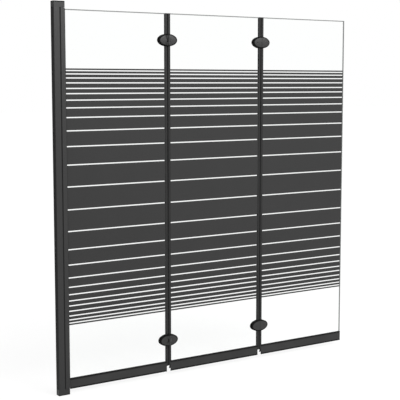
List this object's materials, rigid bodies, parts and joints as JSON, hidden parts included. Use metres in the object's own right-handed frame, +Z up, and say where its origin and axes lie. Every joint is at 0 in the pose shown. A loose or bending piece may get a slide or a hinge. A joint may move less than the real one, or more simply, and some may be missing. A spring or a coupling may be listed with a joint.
{
  "type": "folding bath screen",
  "caption": "Folding bath screen: a dark wall post and frameless glass panels with graded horizontal stripes, joined by oval hinges so that they fold in a zigzag.",
  "frame": {"origin": "on the wall plane at the foot of the post, in the middle of the glass thickness", "axes": "+X from the wall along the closed screen, +Y from the front face to the back (bath side), +Z up"},
  "size_m": [1.3, 0.031, 1.38],
  "materials": {
    "coated_aluminium": "satin anthracite powder coat on extruded aluminium",
    "coated_casting": "satin anthracite powder coat on zinc die castings",
    "cap_plastic": "moulded plastic, satin anthracite",
    "bush_plastic": "self-coloured acetal",
    "steel": "plain stainless steel",
    "dark_steel": "blackened stainless screws and hinge pins",
    "clear_glass": "clear toughened safety glass with ground edges",
    "enamel": "dark grey enamel printed on the glass",
    "gasket_rubber": "matt black",
    "dark_seal": "flexible dark grey vinyl"
  },
  "bodies": {
    "post": {"wall_channel": "coated_aluminium", "post_profile": "coated_aluminium", "post_screws": "dark_steel", "top_cap": "cap_plastic", "bottom_cap": "cap_plastic", "cap_screws": "dark_steel", "top_pivot_pin": "steel", "bottom_pivot_pin": "steel", "seam_seal": "gasket_rubber"},
    "panel_1": {"pivot_profile": "coated_aluminium", "top_bush": "bush_plastic", "bottom_bush": "bush_plastic", "glazing_gasket": "gasket_rubber", "glass_1": "clear_glass", "stripes_1": "enamel", "bottom_seal_1": "dark_seal", "seal_1_right_lower": "dark_seal", "seal_1_right_middle": "dark_seal", "seal_1_right_upper": "dark_seal", "hinge_a_upper_left_leaf": "coated_casting", "hinge_a_upper_left_plate": "coated_casting", "hinge_a_upper_pin": "dark_steel", "hinge_a_lower_left_leaf": "coated_casting", "hinge_a_lower_left_plate": "coated_casting", "hinge_a_lower_pin": "dark_steel", "hinge_gaskets_1": "gasket_rubber", "hinge_screws_1": "dark_steel"},
    "panel_2": {"glass_2": "clear_glass", "stripes_2": "enamel", "bottom_seal_2": "dark_seal", "seal_2_left_lower": "dark_seal", "seal_2_left_middle": "dark_seal", "seal_2_left_upper": "dark_seal", "seal_2_right_lower": "dark_seal", "seal_2_right_middle": "dark_seal", "seal_2_right_upper": "dark_seal", "hinge_a_upper_right_leaf": "coated_casting", "hinge_a_upper_right_plate": "coated_casting", "hinge_a_lower_right_leaf": "coated_casting", "hinge_a_lower_right_plate": "coated_casting", "hinge_b_upper_left_leaf": "coated_casting", "hinge_b_upper_left_plate": "coated_casting", "hinge_b_upper_pin": "dark_steel", "hinge_b_lower_left_leaf": "coated_casting", "hinge_b_lower_left_plate": "coated_casting", "hinge_b_lower_pin": "dark_steel", "hinge_gaskets_2": "gasket_rubber", "hinge_screws_2": "dark_steel"},
    "panel_3": {"glass_3": "clear_glass", "stripes_3": "enamel", "bottom_seal_3": "dark_seal", "seal_3_left_lower": "dark_seal", "seal_3_left_middle": "dark_seal", "seal_3_left_upper": "dark_seal", "hinge_b_upper_right_leaf": "coated_casting", "hinge_b_upper_right_plate": "coated_casting", "hinge_b_lower_right_leaf": "coated_casting", "hinge_b_lower_right_plate": "coated_casting", "hinge_gaskets_3": "gasket_rubber", "hinge_screws_3": "dark_steel"}
  },
  "joints": [
    {"name": "wall_pivot", "type": "hinge", "parent": "post", "child": "panel_1", "pos_m": [0.0315, 0, 0], "axis": [0, 0, 1], "range_deg": [0, 90]},
    {"name": "fold_12", "type": "hinge", "parent": "panel_1", "child": "panel_2", "pos_m": [0.455, -0.0115, 0], "axis": [0, 0, -1], "range_deg": [0, 180]},
    {"name": "fold_23", "type": "hinge", "parent": "panel_2", "child": "panel_3", "pos_m": [0.8775, 0.0115, 0], "axis": [0, 0, 1], "range_deg": [0, 180]}
  ]
}
